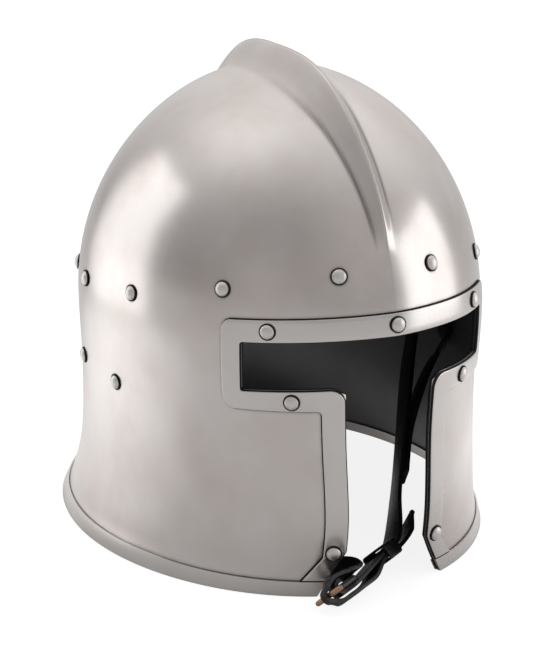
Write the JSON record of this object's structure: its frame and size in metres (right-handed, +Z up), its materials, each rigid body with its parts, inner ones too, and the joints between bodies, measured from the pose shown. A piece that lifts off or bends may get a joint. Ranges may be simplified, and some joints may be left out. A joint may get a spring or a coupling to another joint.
{
  "type": "barbute helmet",
  "caption": "Open-faced steel helmet with a combed skull, riveted trim round a T-shaped face opening, a banded rim and a buckled leather chin strap.",
  "frame": {"origin": "on the floor plane of the rim band's flat underside, under the middle of the assembly's bounding box", "axes": "+Z up from the rim to the crest, -Y the way the face opening looks, +X the wearer's left"},
  "size_m": [0.2358, 0.3232, 0.2772],
  "materials": {
    "skull_steel": "satin polished",
    "trim_steel": "satin polished",
    "band_steel": "satin polished",
    "rivet_steel": "polished domed heads",
    "strap_leather": "black, smooth, slightly worn",
    "buckle_iron": "blackened",
    "bar_bronze": "dull bronze"
  },
  "bodies": {
    "root": {"buckle_bar": "bar_bronze", "buckle_frame": "buckle_iron", "face_trim": "trim_steel", "liner_rivet_back_left": "rivet_steel", "liner_rivet_back_right": "rivet_steel", "liner_rivet_ear_left": "rivet_steel", "liner_rivet_ear_right": "rivet_steel", "liner_rivet_front_left": "rivet_steel", "liner_rivet_front_right": "rivet_steel", "liner_rivet_nape_left": "rivet_steel", "liner_rivet_nape_right": "rivet_steel", "liner_rivet_rear_left": "rivet_steel", "liner_rivet_rear_right": "rivet_steel", "liner_rivet_side_left": "rivet_steel", "liner_rivet_side_right": "rivet_steel", "liner_rivet_temple_left": "rivet_steel", "liner_rivet_temple_right": "rivet_steel", "rim_band": "band_steel", "skull": "skull_steel", "strap_keeper": "strap_leather", "strap_left": "strap_leather", "strap_left_leg": "strap_leather", "strap_right": "strap_leather", "strap_right_leg": "strap_leather", "strap_rivet_front_left": "rivet_steel", "strap_rivet_front_right": "rivet_steel", "strap_rivet_rear_left": "rivet_steel", "strap_rivet_rear_right": "rivet_steel", "trim_rivet_brow_centre": "rivet_steel", "trim_rivet_brow_left": "rivet_steel", "trim_rivet_brow_right": "rivet_steel", "trim_rivet_cheek_left": "rivet_steel", "trim_rivet_cheek_right": "rivet_steel", "trim_rivet_sight_left": "rivet_steel", "trim_rivet_sight_right": "rivet_steel"}
  },
  "joints": []
}
